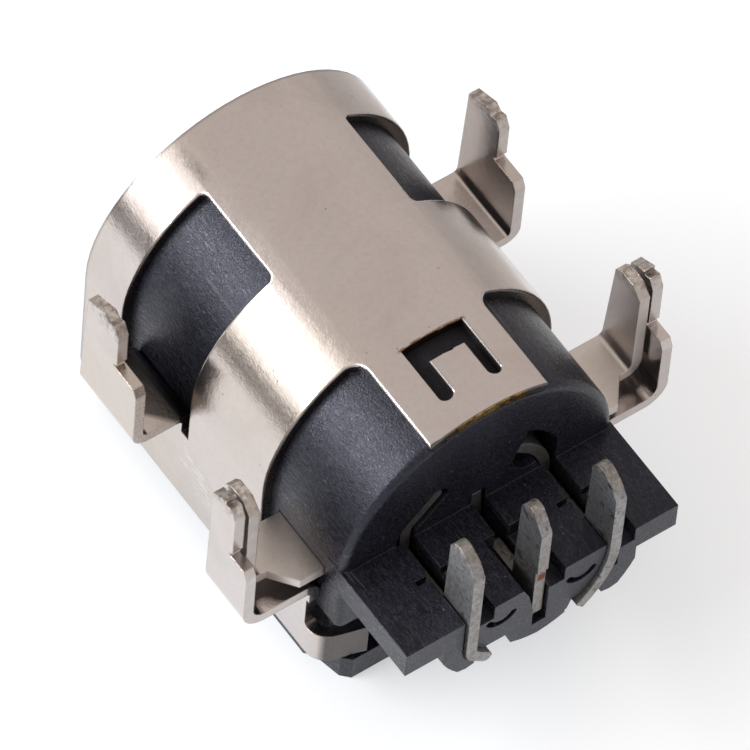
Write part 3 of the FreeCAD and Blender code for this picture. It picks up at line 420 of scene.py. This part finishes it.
def moulding_material():
    """Black moulding: grain that glitters, painted glints, dust, specks, scratches, lighter sharp edges, and
    painted shade under the tongue's slot.
    """
    g = Graph("black_moulding")
    cloud = g.noise(520, 4, 0.6)
    color = g.mix(g.span(cloud, 0.4, 0.7), PLASTIC_DARK, PLASTIC_LIGHT)
    color = g.mix(g.span(g.noise(2300, 4, 0.7), 0.6, 0.8, 0.0, 0.3), color, PLASTIC_DUST)
    specks = g.product(g.dots(5200, 0.06, 0.12), g.span(g.noise(1500, 1), 0.56, 0.62))
    color = g.mix(g.product(specks, 0.6), color, PLASTIC_SPECK)
    long_strokes = g.noise(6500, 2, 0.5, g.mapped((1, 0.06, 1), (0.3, 0.5, 0.9)))
    color = g.mix(g.product(g.span(long_strokes, 0.67, 0.71), 0.5), color, PLASTIC_SCRATCH)
    strokes = g.noise(23000, 2, 0.6, g.mapped((1, 0.25, 1), (0.4, 0.2, 0.7)), distortion=1.6)
    glints = g.span(strokes, 0.47, 0.64)
    # painted glints: the strokes are lighter in the base colour, and smoother
    color = g.mix(glints, color, PLASTIC_PAINTED_GLINT)
    rounded = g.bevel(0.035 * MM)
    # lighter colour in patches along sharp edges
    lighter_edges = g.product(g.edges(rounded), g.span(g.noise(1700, 3, 0.6), 0.4, 0.62, 0.15, 0.8))
    color = g.mix(lighter_edges, color, PLASTIC_EDGE_TONE)
    # painted shade, nearly black, on the stretch that shows through the tongue's slot
    under = g.inside(**UNDER_SLOT)
    color = g.mix(g.product(under, 0.92), color, PLASTIC_SLOT_SHADE)
    rough = g.total(g.span(cloud, 0.3, 0.7, 0.29, 0.38), g.product(glints, -0.14), g.product(under, 0.35))
    height = g.total(g.noise(20000, 2, 0.7), g.product(strokes, 0.9))
    g.shader.inputs["Specular Tint"].default_value = PLASTIC_SHEEN
    return g.finish(color, rough, g.bump(height, 8 * MICRON, rounded), specular=0.38)


def wear_materials():
    springs = spring_material()
    side = contact_material("tinned_contact", SIDE_TIN)
    centre = contact_material("tinned_terminal", CENTRE_TIN, copper=True)
    finishes = {
        "shield_shell": sheet_material(),
        "housing": moulding_material(),
        "left_ground_spring": springs,
        "right_ground_spring": springs,
        "left_contact": side,
        "right_contact": side,
        "centre_pin": side,
        "centre_terminal": centre,
    }
    for node, material in finishes.items():
        slots = nodes[node].data.materials
        slots.clear()
        slots.append(material)


def add_square(name, half, material):
    """A flat square about the origin."""
    bm = bmesh.new()
    bmesh.ops.create_grid(bm, x_segments=1, y_segments=1, size=half)
    mesh = bpy.data.meshes.new(name)
    bm.to_mesh(mesh)
    bm.free()
    square = bpy.data.objects.new(name, mesh)
    bpy.context.collection.objects.link(square)
    mesh.materials.append(material)
    return square


def add_floor():
    """Pale table lit a little from below, as a light table is."""
    g = Graph("studio_white")
    g.finish(FLOOR_COLOR, g.span(g.noise(30), 0.3, 0.7, 0.75, 0.85))
    g.shader.inputs["Emission Color"].default_value = FLOOR_LIGHT
    g.shader.inputs["Emission Strength"].default_value = FLOOR_GLOW
    add_square("floor", FLOOR_HALF, g.material)


def add_card(name, centre, size, low, high):
    """A card that shows only in reflections; it stands upright and faces the object.

    Its brightness runs from low at its foot to high at its top.
    """
    g = Graph(name + "_grey")
    g.finish((0.0, 0.0, 0.0, 1), g.span(g.noise(40), 0.3, 0.7, 0.8, 0.9), specular=0.0)
    g.shader.inputs["Emission Color"].default_value = CARD_LIGHT
    g.link(g.span(g.axis_part("Y"), -0.5, 0.5, low, high), g.shader.inputs["Emission Strength"])
    card = add_square(name, 0.5, g.material)
    card.location = centre
    card.scale = (size[0], size[1], 1)
    level = Vector((centre[0], centre[1], 0)).normalized()
    card.rotation_euler = level.to_track_quat("Z", "Y").to_euler()
    card.visible_camera = False
    card.visible_diffuse = False
    card.visible_shadow = False


def add_world():
    """A warm grey room above the table."""
    world = bpy.data.worlds.new("world")
    bpy.context.scene.world = world
    world.use_nodes = True
    tree = world.node_tree
    coords = tree.nodes.new("ShaderNodeTexCoord")
    parts = tree.nodes.new("ShaderNodeSeparateXYZ")
    ramp = tree.nodes.new("ShaderNodeValToRGB")
    tree.links.new(coords.outputs["Generated"], parts.inputs["Vector"])
    tree.links.new(parts.outputs["Z"], ramp.inputs["Fac"])
    elements = ramp.color_ramp.elements
    while len(elements) < len(ROOM_STOPS):
        elements.new(0.5)
    for element, (at, level) in zip(elements, ROOM_STOPS):
        element.position = at
        element.color = tuple(level * tint for tint in ROOM_TINT) + (1,)
    background = tree.nodes["Background"]
    tree.links.new(ramp.outputs["Color"], background.inputs["Color"])
    background.inputs["Strength"].default_value = 1.0


def add_softbox(name, towards, distance, size, radiance):
    """A rectangular light that faces the object from a direction of the frame."""
    data = bpy.data.lights.new(name, "AREA")
    data.shape = "RECTANGLE"
    data.size, data.size_y = size
    data.energy = radiance * math.pi * size[0] * size[1]
    light = bpy.data.objects.new(name, data)
    bpy.context.collection.objects.link(light)
    direction = Vector(towards).normalized()
    light.location = place(0, MIDDLE, 0) + direction * distance
    light.rotation_euler = direction.to_track_quat("Z", "Y").to_euler()


add_camera()
wear_materials()
add_floor()
add_world()
add_softbox("softbox", *SOFTBOX)
add_softbox("softbox_lamp", *SOFTBOX_LAMP)
add_card("side_card", *SIDE_CARD)
add_card("far_card", *FAR_CARD)
bpy.context.scene.view_settings.view_transform = "Standard"
